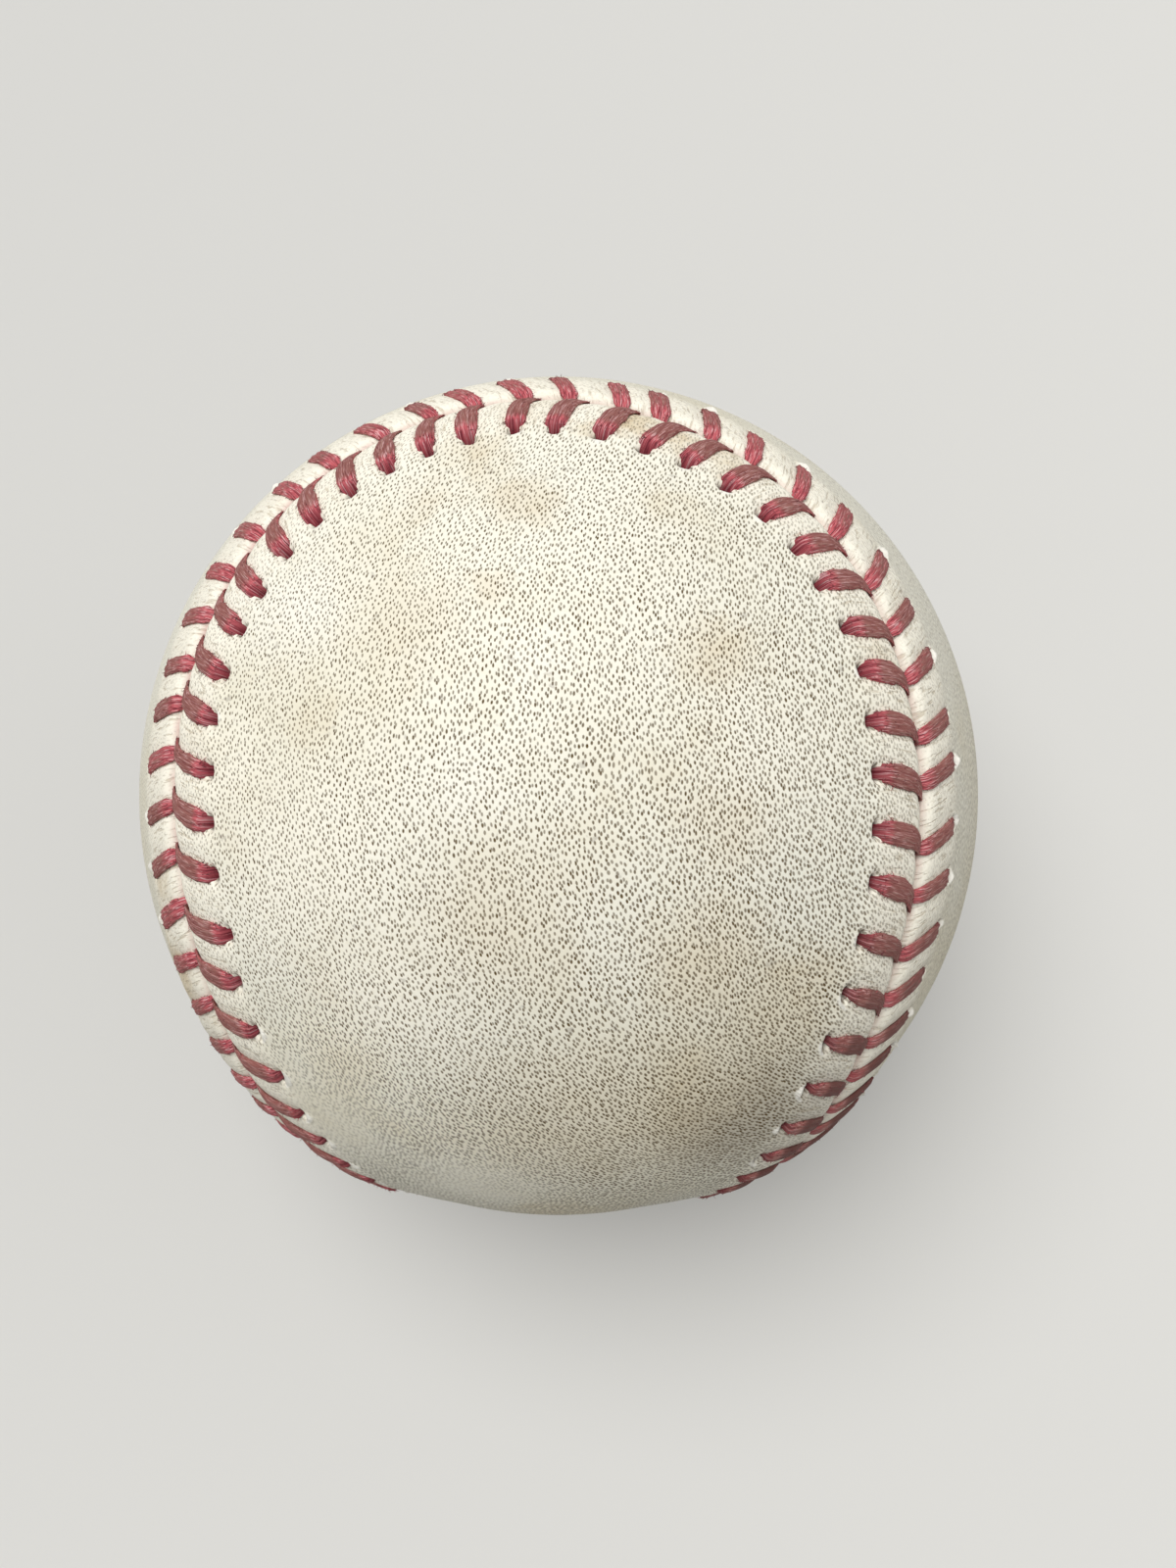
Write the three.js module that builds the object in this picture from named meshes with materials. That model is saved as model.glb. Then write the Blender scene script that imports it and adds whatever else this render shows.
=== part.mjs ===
// A stitched leather baseball: cork and rubber centre, four wound layers of yarn,
// and two figure-eight cover panels laced together by two strands of waxed thread.
// The origin is the centre of the ball, and the ball lies as it does in the photograph:
// +Z up, with the neck of the front panel turned down towards -Y.

import * as THREE from "three";

// Driving dimensions, in millimetres unless a comment says otherwise.
const ballDiameter = 74; // over the leather, away from the seam
const coverThickness = 1.3;
const coverGap = 0.5; // room for the adhesive between the yarn and the leather
const layerGap = 0.3; // clearance from one inner layer to the next

const corkDiameter = 20.6;
const blackRubberThickness = 4;
const gasketThickness = 0.8;
const redRubberThickness = 2.4;
const secondWindingThickness = 1.7;
const thirdWindingThickness = 2.3;
const finishingWindingThickness = 0.8;
const yarnHoleDiameter = 3; // where a yarn's end passes to the next layer

const neckWidth = 26.9; // narrowest place of a cover panel, seam to seam
const lobeSwing = 0.421; // radians the seam swings sideways to round its lobes
const lobeSquareness = 0.023; // radians of a second swing that fills the lobes' shoulders
const lieAngle = 125; // degrees the seam's own axis is turned about X as the ball lies

const stitchPairs = 54; // each pair is one stitch of either thread
const stitchCrowding = 0.038; // how much closer than the mean the front lobe is stitched
const stitchPhase = 0.54; // share of a pitch from the seam's start to the first hole
const backHoleShift = 0.15; // share of a pitch the back panel's holes lie further along the seam
const holeOffset = 5.3; // seam line to the middle of a stitch hole
const ridgeWidth = 9; // seam line to where the leather lies flat again
const edgeDrop = 0.3; // how far the leather's edge rolls down into the seam

const threadWidth = 1.4;
const threadTipWidth = 0.7; // where a leg dives into the seam
const threadThickness = 0.5;
const threadClearance = 0.25;
const frontLegReach = 0.45; // share of a pitch a leg of the front panel leans, from hole to seam
const backLegReach = 0.32; // and a leg of the back panel, which stands a little straighter

// Counts that set how fine the facets are.
const roundSteps = 16;
const polarSteps = 8;
const coverColumns = 60; // around a panel's flat part, an even count
const coverRows = 3; // from the ridge to the panel's spine
const spineReach = 120; // degrees from a panel's neck to the end of the spine its rows run to
const seamDivisions = 4000;

// Sizes worked out from the driving ones.
const ballRadius = ballDiameter / 2;
const coverInnerRadius = ballRadius - coverThickness;
const yarnRadius = coverInnerRadius - coverGap;
const thirdRadius = yarnRadius - finishingWindingThickness - layerGap;
const secondRadius = thirdRadius - thirdWindingThickness - layerGap;
const firstRadius = secondRadius - secondWindingThickness - layerGap;
const corkRadius = corkDiameter / 2;
const blackInnerRadius = corkRadius + layerGap;
const blackRadius = blackInnerRadius + blackRubberThickness;
const redInnerRadius = blackRadius + layerGap;
const redRadius = redInnerRadius + redRubberThickness;
const neckAngle = neckWidth / ballDiameter;
const stitchCount = 2 * stitchPairs;
const threadRoom = threadThickness + 2 * threadClearance;
const leatherLift = threadRoom - coverGap; // the thread beneath raises the leather
const seamGap = threadRoom;
const holeAcross = threadRoom;
const holeAlong = threadWidth + 2 * threadClearance;
const threadSeat = threadClearance + threadThickness / 2; // surface to the thread's centre line
const fullTurn = 2 * Math.PI;

// The seam on a unit sphere. Its axis is Z: the front panel's neck is at +Z with lobes at +Y and -Y,
// and the back panel's neck is at -Z with lobes at +X and -X.
class SeamCurve extends THREE.Curve {
  constructor() {
    super();
    this.arcLengthDivisions = seamDivisions;
  }

  getPoint(share, target = new THREE.Vector3()) {
    const turn = 2 * fullTurn * share;
    const polar = Math.PI / 2 - (Math.PI / 2 - neckAngle) * Math.cos(turn);
    const around = turn / 2 + lobeSwing * Math.sin(2 * turn) + lobeSquareness * Math.sin(4 * turn);
    const ring = Math.sin(polar);
    return target.set(ring * Math.cos(around), ring * Math.sin(around), Math.cos(polar));
  }
}

const seam = new SeamCurve();

// Share of the seam's length at a stitch number, which need not be whole.
function stitchShare(number) {
  const share = number / stitchCount;
  return share + (stitchCrowding / fullTurn) * Math.cos(fullTurn * share);
}

// Number of a panel's hole: whole steps from that panel's first hole, either way round the seam.
function holeNumber(steps, side) {
  return steps + stitchPhase + (side > 0 ? 0 : backHoleShift);
}

// Directions at a place on the cover: up from the ball, along the seam, and out from the seam
// towards the panel on the given side, which is 1 for the front panel and -1 for the back one.
function coverFrame(share, side, distance) {
  const within = THREE.MathUtils.euclideanModulo(share, 1);
  const over = seam.getPointAt(within).normalize();
  const along = seam.getTangentAt(within);
  const toward = new THREE.Vector3().crossVectors(over, along).normalize().multiplyScalar(side);
  const angle = distance / ballRadius;
  const up = over.clone().multiplyScalar(Math.cos(angle)).addScaledVector(toward, Math.sin(angle));
  const out = toward.multiplyScalar(Math.cos(angle)).addScaledVector(over, -Math.sin(angle));
  return { up, along, out };
}

// The spine runs down the middle of a panel. The back panel is the front one turned a quarter
// about Z and mirrored in Z, so its spine point comes from the turned-back seam point.
function spineDirection(share, side) {
  const over = seam.getPointAt(share);
  const seenFromNeck = side > 0 ? Math.atan2(over.y, over.z) : Math.atan2(-over.x, -over.z);
  const tip = Math.PI - neckAngle;
  const angle = THREE.MathUtils.degToRad(spineReach) * Math.sin(((Math.PI / 2) * seenFromNeck) / tip);
  const sideways = Math.sin(angle);
  const onward = Math.cos(angle);
  return side > 0
    ? new THREE.Vector3(0, sideways, onward)
    : new THREE.Vector3(-sideways, 0, -onward);
}

function meshGeometry(points, faces) {
  const geometry = new THREE.BufferGeometry();
  geometry.setFromPoints(points);
  geometry.setIndex(faces);
  geometry.computeVertexNormals();
  return geometry;
}

// One cover panel: an outer and an inner skin over the same loops of points,
// joined by the wall along the seam and by the walls of the stitch holes.
function coverPanel(side) {
  const points = [];
  const faces = [];

  function face(a, b, c) {
    if (a === b || b === c || c === a) return;
    faces.push(...(side > 0 ? [a, b, c] : [a, c, b]));
  }

  function quad(a, b, c, d) {
    face(a, b, c);
    face(a, c, d);
  }

  // A point of both skins. The lift raises the two together, the drop only rolls the outer one down.
  function place(share, direction, lift, drop = 0) {
    const top = points.push(direction.clone().setLength(ballRadius + lift - drop)) - 1;
    const under = points.push(direction.clone().setLength(coverInnerRadius + lift)) - 1;
    return { share, top, under };
  }

  // The band between two closed loops, whose points need not match one to one.
  function band(outerLoop, innerLoop) {
    const at = (loop, i) => loop[i % loop.length];
    const middle = (loop, i) => {
      const next = at(loop, i + 1).share + (i + 1 >= loop.length ? 1 : 0);
      return (at(loop, i).share + next) / 2;
    };
    let i = 0;
    let j = 0;
    while (i < outerLoop.length || j < innerLoop.length) {
      const outerLeft = i < outerLoop.length;
      const innerLeft = j < innerLoop.length;
      const a = at(outerLoop, i);
      const b = at(innerLoop, j);
      if (outerLeft && (!innerLeft || middle(outerLoop, i) < middle(innerLoop, j))) {
        const next = at(outerLoop, i + 1);
        face(a.top, next.top, b.top);
        face(a.under, b.under, next.under);
        i += 1;
      } else {
        const next = at(innerLoop, j + 1);
        face(a.top, next.top, b.top);
        face(a.under, b.under, next.under);
        j += 1;
      }
    }
  }

  const stitches = Array.from({ length: stitchCount }, (_, i) => holeNumber(i, side));

  const edgeLoop = stitches.map((number) => {
    const share = stitchShare(number + 0.5);
    return place(share, coverFrame(share, side, seamGap / 2).up, leatherLift, edgeDrop);
  });

  const holes = stitches.map((number) => {
    const share = stitchShare(number);
    const { up, along, out } = coverFrame(share, side, holeOffset);
    const shareAlong = holeAlong / 2 / (ballRadius * seam.getLength());
    const corner = (alongSign, outSign) => {
      const direction = up.clone().multiplyScalar(ballRadius);
      direction.addScaledVector(along, (alongSign * holeAlong) / 2);
      direction.addScaledVector(out, (outSign * holeAcross) / 2);
      return place(share + alongSign * shareAlong, direction, leatherLift);
    };
    return [corner(-1, -1), corner(1, -1), corner(1, 1), corner(-1, 1)];
  });
  const nearLoop = holes.flatMap((hole) => [hole[0], hole[1]]);
  const farLoop = holes.flatMap((hole) => [hole[3], hole[2]]);

  const ridgeLoop = stitches
    .filter((_, i) => i % 2 === 0)
    .map((number) => {
      const share = stitchShare(number);
      return place(share, coverFrame(share, side, ridgeWidth).up, 0);
    });

  const columns = Array.from({ length: coverColumns }, (_, i) => (i + 0.5) / coverColumns);
  const flatLoops = [];
  for (let row = 1; row < coverRows; row += 1) {
    flatLoops.push(
      columns.map((share) => {
        const from = coverFrame(share, side, ridgeWidth).up;
        return place(share, from.lerp(spineDirection(share, side), row / coverRows), 0);
      }),
    );
  }

  // Columns that face each other across the spine share its point.
  const spinePoints = new Map();
  const spineLoop = columns.map((share, i) => {
    const mirror = side > 0 ? coverColumns / 2 - 1 - i : coverColumns - 1 - i;
    const pair = Math.min(i, THREE.MathUtils.euclideanModulo(mirror, coverColumns));
    if (!spinePoints.has(pair)) spinePoints.set(pair, place(share, spineDirection(share, side), 0));
    return { ...spinePoints.get(pair), share };
  });

  band(edgeLoop, nearLoop);
  band(farLoop, ridgeLoop);
  const flatStack = [ridgeLoop, ...flatLoops, spineLoop];
  flatStack.slice(1).forEach((loop, i) => band(flatStack[i], loop));

  edgeLoop.forEach((a, i) => {
    const b = edgeLoop[(i + 1) % edgeLoop.length];
    quad(a.under, b.under, b.top, a.top);
  });
  holes.forEach((hole, i) => {
    hole.forEach((a, c) => {
      const b = hole[(c + 1) % hole.length];
      quad(a.under, a.top, b.top, b.under);
    });
    const next = holes[(i + 1) % holes.length];
    quad(hole[1].top, next[0].top, next[3].top, hole[2].top);
    quad(hole[1].under, hole[2].under, next[3].under, next[0].under);
  });

  return meshGeometry(points, faces);
}

// One strand of the lacing, a closed loop. At each stitch it rises through a hole, crosses the
// leather to the seam, dives, and runs beneath the other panel to that panel's next hole.
// The lacing runs against the stitch numbers, which point the stitches clockwise round the front lobe.
function stitchThread(firstSide) {
  const points = [];
  const faces = [];
  const under = yarnRadius + threadSeat;
  const overHole = ballRadius + leatherLift + threadSeat;
  const overEdge = overHole - edgeDrop;

  // Four corners about a bend of the thread, on the plane that halves the bend.
  function ring({ up, along }, radius, width, from, to) {
    const centre = up.clone().multiplyScalar(radius);
    const mitre = new THREE.Vector3().crossVectors(along, from.clone().add(to));
    for (const sign of [1, -1]) {
      points.push(centre.clone().addScaledVector(along, (sign * width) / 2));
      points.push(centre.clone().addScaledVector(mitre, (sign * threadThickness) / 2));
    }
  }

  for (let i = 0; i < stitchCount; i += 1) {
    const side = i % 2 === 0 ? firstSide : -firstSide;
    const number = holeNumber(-i, side);
    const reach = side > 0 ? frontLegReach : backLegReach;
    const hole = coverFrame(stitchShare(number), side, holeOffset);
    const dive = coverFrame(stitchShare(number - reach), side, 0);
    ring(hole, under, threadWidth, hole.out, hole.up);
    ring(hole, overHole, threadWidth, hole.up, hole.out.clone().negate());
    ring(dive, overEdge, threadTipWidth, dive.out.clone().negate(), dive.up.clone().negate());
    ring(dive, under, threadTipWidth, dive.up.clone().negate(), dive.out.clone().negate());
  }

  const sides = 4;
  for (let start = 0; start < points.length; start += sides) {
    for (let c = 0; c < sides; c += 1) {
      const a = start + c;
      const b = start + ((c + 1) % sides);
      const nextA = (a + sides) % points.length;
      const nextB = (b + sides) % points.length;
      faces.push(a, nextB, b, a, nextA, nextB);
    }
  }
  return meshGeometry(points, faces);
}

// Points of an arc about the origin, at the common polar steps between two polar angles.
function polarArc(radius, from, to) {
  const step = Math.PI / polarSteps;
  const angles = [from];
  for (let i = 1; i < polarSteps; i += 1) {
    if (i * step > from && i * step < to) angles.push(i * step);
  }
  angles.push(to);
  return angles.map((angle) => new THREE.Vector2(radius * Math.sin(angle), radius * Math.cos(angle)));
}

function turned(profile) {
  return new THREE.LatheGeometry(profile, roundSteps).rotateX(Math.PI / 2);
}

function coreBall(radius) {
  return turned(polarArc(radius, 0, Math.PI).reverse());
}

// Half of a round shell, whose flat rim stands off the middle plane.
function halfShell(innerRadius, outerRadius, standOff, upper) {
  const rim = (radius) => Math.acos(standOff / radius);
  const outer = polarArc(outerRadius, 0, rim(outerRadius));
  const inner = polarArc(innerRadius, 0, rim(innerRadius)).reverse();
  const geometry = turned([...outer, ...inner].reverse());
  return upper ? geometry : geometry.rotateX(Math.PI);
}

// A wound layer of yarn, with a small hole at either end where the yarn starts and is tucked in.
function winding(innerRadius, outerRadius) {
  const mouth = (radius) => Math.asin(yarnHoleDiameter / 2 / radius);
  const arc = (radius) => polarArc(radius, mouth(radius), Math.PI - mouth(radius));
  const profile = [...arc(outerRadius), ...arc(innerRadius).reverse()];
  return turned([...profile, profile[0]].reverse());
}

function flatRing(innerRadius, outerRadius, thickness) {
  const half = thickness / 2;
  const profile = [
    new THREE.Vector2(innerRadius, -half),
    new THREE.Vector2(outerRadius, -half),
    new THREE.Vector2(outerRadius, half),
    new THREE.Vector2(innerRadius, half),
    new THREE.Vector2(innerRadius, -half),
  ];
  return turned(profile);
}

const finishes = {
  cork: { color: 0xb98a5a, roughness: 0.9 },
  blackRubber: { color: 0x1d1c1c, roughness: 0.7 },
  redRubber: { color: 0x9c3a34, roughness: 0.7 },
  greyWool: { color: 0x7d7a76, roughness: 0.95 },
  whiteWool: { color: 0xd9d3c4, roughness: 0.95 },
  finishingYarn: { color: 0xe6e1d3, roughness: 0.9 },
  leather: { color: 0xe4dcc8, roughness: 0.6 },
  redThread: { color: 0xae2c3c, roughness: 0.65 },
};

const ball = new THREE.Group();

function addPiece(name, finish, geometry) {
  const material = new THREE.MeshStandardMaterial({ metalness: 0, ...finishes[finish] });
  const mesh = new THREE.Mesh(geometry, material);
  mesh.name = name;
  ball.add(mesh);
}

const blackStandOff = gasketThickness / 2 + layerGap;
const redStandOff = layerGap / 2;

addPiece("cork_core", "cork", coreBall(corkRadius));
for (const [name, upper] of [["lower", false], ["upper", true]]) {
  const black = halfShell(blackInnerRadius, blackRadius, blackStandOff, upper);
  const red = halfShell(redInnerRadius, redRadius, redStandOff, upper);
  addPiece(`black_rubber_half_${name}`, "blackRubber", black);
  addPiece(`red_rubber_half_${name}`, "redRubber", red);
}
addPiece("rubber_gasket", "redRubber", flatRing(blackInnerRadius, blackRadius, gasketThickness));
addPiece("first_wool_winding", "greyWool", winding(redRadius + layerGap, firstRadius));
addPiece("second_wool_winding", "whiteWool", winding(firstRadius + layerGap, secondRadius));
addPiece("third_wool_winding", "greyWool", winding(secondRadius + layerGap, thirdRadius));
addPiece("finishing_yarn_winding", "finishingYarn", winding(thirdRadius + layerGap, yarnRadius));
addPiece("cover_panel_front", "leather", coverPanel(1));
addPiece("cover_panel_back", "leather", coverPanel(-1));
addPiece("stitch_thread_first", "redThread", stitchThread(1));
addPiece("stitch_thread_second", "redThread", stitchThread(-1));

ball.rotation.x = THREE.MathUtils.degToRad(lieAngle);

const baseball = new THREE.Group();
baseball.add(ball);

export default baseball;
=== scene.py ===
import math

import bpy
import numpy as np
from mathutils import Matrix, Vector


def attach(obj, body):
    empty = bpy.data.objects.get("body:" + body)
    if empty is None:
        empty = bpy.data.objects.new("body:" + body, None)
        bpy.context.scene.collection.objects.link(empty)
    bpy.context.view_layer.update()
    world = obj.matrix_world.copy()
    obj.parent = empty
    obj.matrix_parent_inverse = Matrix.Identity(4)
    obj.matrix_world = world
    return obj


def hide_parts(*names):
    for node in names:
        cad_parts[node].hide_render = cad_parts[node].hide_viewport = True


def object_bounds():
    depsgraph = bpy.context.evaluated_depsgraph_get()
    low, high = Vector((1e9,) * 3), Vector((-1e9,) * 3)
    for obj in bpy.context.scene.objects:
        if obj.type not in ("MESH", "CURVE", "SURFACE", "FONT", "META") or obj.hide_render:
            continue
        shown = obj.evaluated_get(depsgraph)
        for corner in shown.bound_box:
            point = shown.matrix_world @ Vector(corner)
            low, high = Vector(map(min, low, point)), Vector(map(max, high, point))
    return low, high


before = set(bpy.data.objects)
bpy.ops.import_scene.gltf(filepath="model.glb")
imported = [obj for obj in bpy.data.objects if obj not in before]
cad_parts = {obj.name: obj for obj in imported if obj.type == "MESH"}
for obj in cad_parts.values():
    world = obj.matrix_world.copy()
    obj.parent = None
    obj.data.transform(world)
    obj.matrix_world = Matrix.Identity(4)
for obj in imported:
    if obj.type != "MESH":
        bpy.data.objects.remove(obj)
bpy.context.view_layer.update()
print("frame loaded,", len(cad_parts), "nodes")

# A laced leather baseball. Lengths are in metres, in the frame of the CAD: the ball's middle is the
# origin and +Z is up. The seam is worked out about its own axis, then laid down with the ball.

ball = dict(
    radius=0.037,  # over the leather, away from the seam
    leather=0.0013,  # how thick the cover is
    neckWidth=0.0269,  # narrowest place of a panel, seam to seam
    lobeSwing=0.421,  # radians the seam swings sideways to round its lobes
    lobeSquareness=0.023,  # a second swing that fills the shoulders
    lie=math.radians(125),  # how far the seam's axis is turned about X
)
lacing = dict(
    stitches=108,
    crowding=0.038,  # how much closer than the mean the front lobe is stitched
    phase=0.54,  # share of a pitch from the seam's start to the first hole
    backShift=0.15,  # share of a pitch the back panel's holes lie further along
    holeOffset={1: 0.0051, -1: 0.0048},  # seam line to the middle of a hole
    underDepth=0.0013,  # how deep the thread runs beneath the leather's outer face
    strayAlong=0.045,  # how far a hole strays along the seam, in pitches
    strayAcross=0.00013,  # and across it
    seed=5,
)
stitches = lacing["stitches"]
sides = {"front": 1, "back": -1}  # the front panel lies on the positive side of the seam
handwork = {  # where the stitches differ along the seam: stitch number, spread and amount of each
    1: dict(
        sewing=(  # the sewing ran ahead or fell behind, in pitches
            (5.5, 4.5, -0.62), (22, 4.0, 0.08), (27.8, 2.2, 0.26), (38, 3.2, -0.15), (44.5, 2.5, 0.08),
        ),
        leaning=((33, 5.0, 0.17),),  # the legs lean more, in pitches
        fullness=((33, 5.0, -0.06),),  # they are fuller, as a share of their width
        bluntness=((8, 7.0, 0.45), (25, 3.5, 0.30)),  # their ends stay broad
        narrowing=((9, 4.5, 0.46), (45, 4.0, 0.34)),  # they come out of their holes narrow
        darkening=((6, 8.0, 0.9), (46, 4.0, 0.4)),  # they are darker
        tearing=((9, 4.0, 1.4), (46, 4.5, 1.6)),  # the leather is torn at their holes
        tearShift=((9, 4.0, -0.7), (46, 4.5, 0.2)),  # and its lips lie aside, in half lengths of a hole
    ),
    -1: dict(
        sewing=((11, 3.0, -0.30), (23, 4.5, 0.33), (34, 2.5, -0.12), (39, 4.0, -0.24)),
        leaning=((33.5, 4.5, -0.30),),
        darkening=((6, 8.0, 0.9),),
    ),
}
wander = (  # where the seam lies off its plain curve: stitch number, spread, and metres to the front
    (5.5, 2.5, -0.0008), (11, 2.5, 0.0002), (25.5, 2.5, 0.00045),
    (31.8, 2.5, -0.00035), (40, 2.6, 0.0006), (47, 2.5, -0.0010),
)


def unit(vectors):
    return vectors / np.linalg.norm(vectors, axis=-1, keepdims=True)


def ease(x):  # 0 below 0, 1 above 1 and an S between
    x = np.clip(x, 0, 1)
    return x * x * (3 - 2 * x)


def easeFrom(t, start):  # the same from a start to 1
    return ease((t - start) / (1 - start))


def bell(x):
    return np.exp(-(x**2))


# The seam on a unit ball: the polar angle swings from neck to neck as a cosine, twice round,
# while the longitude goes round once with a double and a quadruple swing on it.
def seamPoint(turn):
    neck = ball["neckWidth"] / (2 * ball["radius"])
    polar = np.pi / 2 - (np.pi / 2 - neck) * np.cos(turn)
    around = turn / 2 + ball["lobeSwing"] * np.sin(2 * turn) + ball["lobeSquareness"] * np.sin(4 * turn)
    return np.stack([np.sin(polar) * np.cos(around), np.sin(polar) * np.sin(around), np.cos(polar)], -1)


seamTurns = np.linspace(0, 4 * np.pi, 40001)
seamShares = np.append(0, np.cumsum(np.linalg.norm(np.diff(seamPoint(seamTurns), axis=0), axis=1)))
pitch = ball["radius"] * seamShares[-1] / stitches
seamShares = seamShares / seamShares[-1]


def seamFrame(share):  # up from the ball, along the seam, and across it towards the front panel
    turn = np.interp(np.mod(share, 1), seamShares, seamTurns)
    step = 1e-4
    over = seamPoint(turn)
    along = unit(seamPoint(turn + step) - seamPoint(turn - step))
    return over, along, np.cross(over, along)


def stitchShare(number):  # share of the seam's length at a stitch number
    share = number / stitches
    return share + lacing["crowding"] / (2 * np.pi) * np.cos(2 * np.pi * share)


stitchNumbers = np.linspace(-2, stitches + 2, 20001)


def stitchNumber(share):
    return np.interp(share, stitchShare(stitchNumbers), stitchNumbers)


def firstHole(side):
    return lacing["phase"] + (0 if side > 0 else lacing["backShift"])


def bells(places, table):  # the sum of bell curves: middle, spread and height
    total = 0.0 * places
    for middle, spread, amount in table:
        total = total + amount * bell((places - middle) / spread)
    return total


def varied(holes, side, trait):  # how much of a trait a panel's holes or legs have
    return bells(holes, handwork[side].get(trait, ()))


def sewnHoles(side):  # how far a panel's holes stray along and across the seam, and their legs' lean
    random = np.random.default_rng(lacing["seed"] + side)
    holes = np.arange(stitches)
    along = random.normal(0, lacing["strayAlong"], len(holes)) + varied(holes, side, "sewing")
    across = random.normal(0, lacing["strayAcross"], len(holes))
    return along, across, varied(holes, side, "leaning")


holeStray = {side: sewnHoles(side) for side in sides.values()}


def strayAt(side, number):  # the same between holes
    place = np.mod(number - firstHole(side), stitches)
    holes = np.arange(stitches + 1)
    return [np.interp(place, holes, np.append(stray, stray[0])) for stray in holeStray[side]]


def besideHole(side, number):  # metres along the seam from the nearest hole of a panel
    past = number - firstHole(side) - strayAt(side, number)[0]
    return (np.mod(past + 0.5, 1) - 0.5) * pitch


# The direction of a point on the cover: off the seam by a signed distance along the great circle
# that is square to it.
def coverDirection(share, offset):
    over, across = seamFrame(share)[::2]
    aside = bells(stitchNumber(np.mod(share, 1)) - lacing["phase"], wander)
    angle = ((offset + aside) / ball["radius"])[..., None]
    return over * np.cos(angle) + across * np.sin(angle)


lieTurn = np.array(Matrix.Rotation(ball["lie"], 3, "X"))


def laidDown(points):
    return points @ lieTurn.T


def addObject(name, data):
    made = bpy.data.objects.new(name, data)
    bpy.context.scene.collection.objects.link(made)
    return made


# Builds a mesh object from arrays, with smooth faces that point outwards.
def makePiece(name, points, faces, values):
    corners = points[faces]
    if np.einsum("ij,ij->", corners[:, 0], np.cross(corners[:, 1], corners[:, 2])) < 0:
        faces = faces[:, ::-1]
    mesh = bpy.data.meshes.new(name)
    mesh.from_pydata(points.tolist(), [], faces.tolist())
    for key, value in values.items():
        kind = "FLOAT_VECTOR" if value.ndim == 2 else "FLOAT"
        field = "vector" if value.ndim == 2 else "value"
        layer = mesh.attributes.new(key, kind, "POINT")
        layer.data.foreach_set(field, value.astype(np.float32).ravel())
    mesh.shade_smooth()
    print(name, len(points), "points,", len(faces), "triangles")
    return addObject(name, mesh)


def bandFaces(grid):  # two triangles for each cell of a grid of points that goes round
    a, b = grid[:-1], grid[1:]
    c, d = np.roll(b, -1, 1), np.roll(a, -1, 1)
    halves = [np.stack(corners, -1).reshape(-1, 3) for corners in ((a, b, c), (a, c, d))]
    triangles = np.concatenate(halves)
    same = (triangles == np.roll(triangles, 1, 1)).any(1)
    return triangles[~same]


# Leather

legCourse = {  # how a stitch leg runs over the leather, from its hole to just past the seam
    1: dict(reach=0.54, bend=1.3, hook=0.34, hookFrom=0.62, across=0.60, past=0.0002),
    -1: dict(reach=0.45, bend=1.0, hook=0.0, hookFrom=0.70, across=0.50, past=0.0003),
}
leatherForm = dict(
    lift=0.00062,  # how far the threads beneath raise the seam
    ridgeWidth=0.0115,  # seam line to where the leather lies flat
    shoulder=0.0024,  # seam line to where the ridge starts to fall
    rollWidth={1: 0.0012, -1: 0.0013},  # the edge rolls down into the seam
    rollDepth={1: 0.00068, -1: 0.00066},
    edgeGap=0.00004,  # half the gap between the two edges
    edgeReach=0.003,  # how far from the seam the edge's own shape is felt
    diveOpening=0.00016,  # how far a diving leg pushes the edges apart
    diveWidth=0.0005,
    pillow=0.00014,  # the leather puffs up between the legs
    groove=0.00009,  # and is pressed in beneath them
    grooveWidth=0.0008,
    lacedTo=0.0064,  # seam line to where puffs and grooves end
    lacedFade=0.0016,
    holeDepth=0.0008,
    holeHalfLength={1: 0.00062, -1: 0.00054},
    holeHalfWidth={1: 0.00036, -1: 0.00031},
    lipHeight={1: 0.00014, -1: 0.00032},  # the torn lip on the far side of a hole
    lipOffset=0.00058,
    lipWidth=0.00026,
    lipSpread={1: (-1.0, 1.2), -1: (0.0, 1.6)},  # lips differ this much, and some holes have none
    lipStray=0.4,  # how far a lip sits beside its hole, in half lengths
    dyePlaces=((33, 6.0, 0.6), (8, 5.0, 0.2)),  # where most dye has come off, as in handwork
    dyeLeast=0.1,
    dyeWidth=0.00045,
    dyeReach=0.42,  # pitches beyond a leg's tip
    dyeOnset=1.6,  # how quickly the trail sets in at its far end
    dyeStop=8.0,  # and stops at the tip
    rollRows=9,  # rows of points over the rolled edge
    lacedRows=(1.80, 4.05, 0.30),  # then in mm from the seam: the first, the end and the step
    holedRows=(4.20, 6.00, 0.15),  # closer about the holes
    fadingFrom=0.00625,  # and from here to where the leather lies flat
    fadingRows=9,
    flatRows=13,  # from the ridge to the spine
    innerRows=(0.006, 0.003, 0.0),  # on the inner face
    spineReach=math.radians(120),  # from the neck to the end of the spine
    columns=1620,  # round the panel
    seed=11,
)


# A leg's course is the share of its lean along the seam, a power curve with a hook at the end, and the
# share of its way across from the hole to the seam, a quadratic curve.
def legPath(side, t):
    course = legCourse[side]
    hook = course["hook"] * easeFrom(t, course["hookFrom"])
    lean = (1 - course["hook"]) * t ** course["bend"] + hook
    across = 2 * t * (1 - t) * course["across"] + t * t
    return lean, across


def legReach(side, number):  # how far in pitches the legs about a stitch number lean in all
    return legCourse[side]["reach"] + strayAt(side, number)[2]


def legLean(side, number, distance):  # and how far where they are at a distance from the seam
    lean, across = legPath(side, np.linspace(0, 1, 401))
    hole = lacing["holeOffset"][side]
    length = hole + legCourse[side]["past"]
    return legReach(side, number) * np.interp((hole - distance) / length, across, lean)


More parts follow.
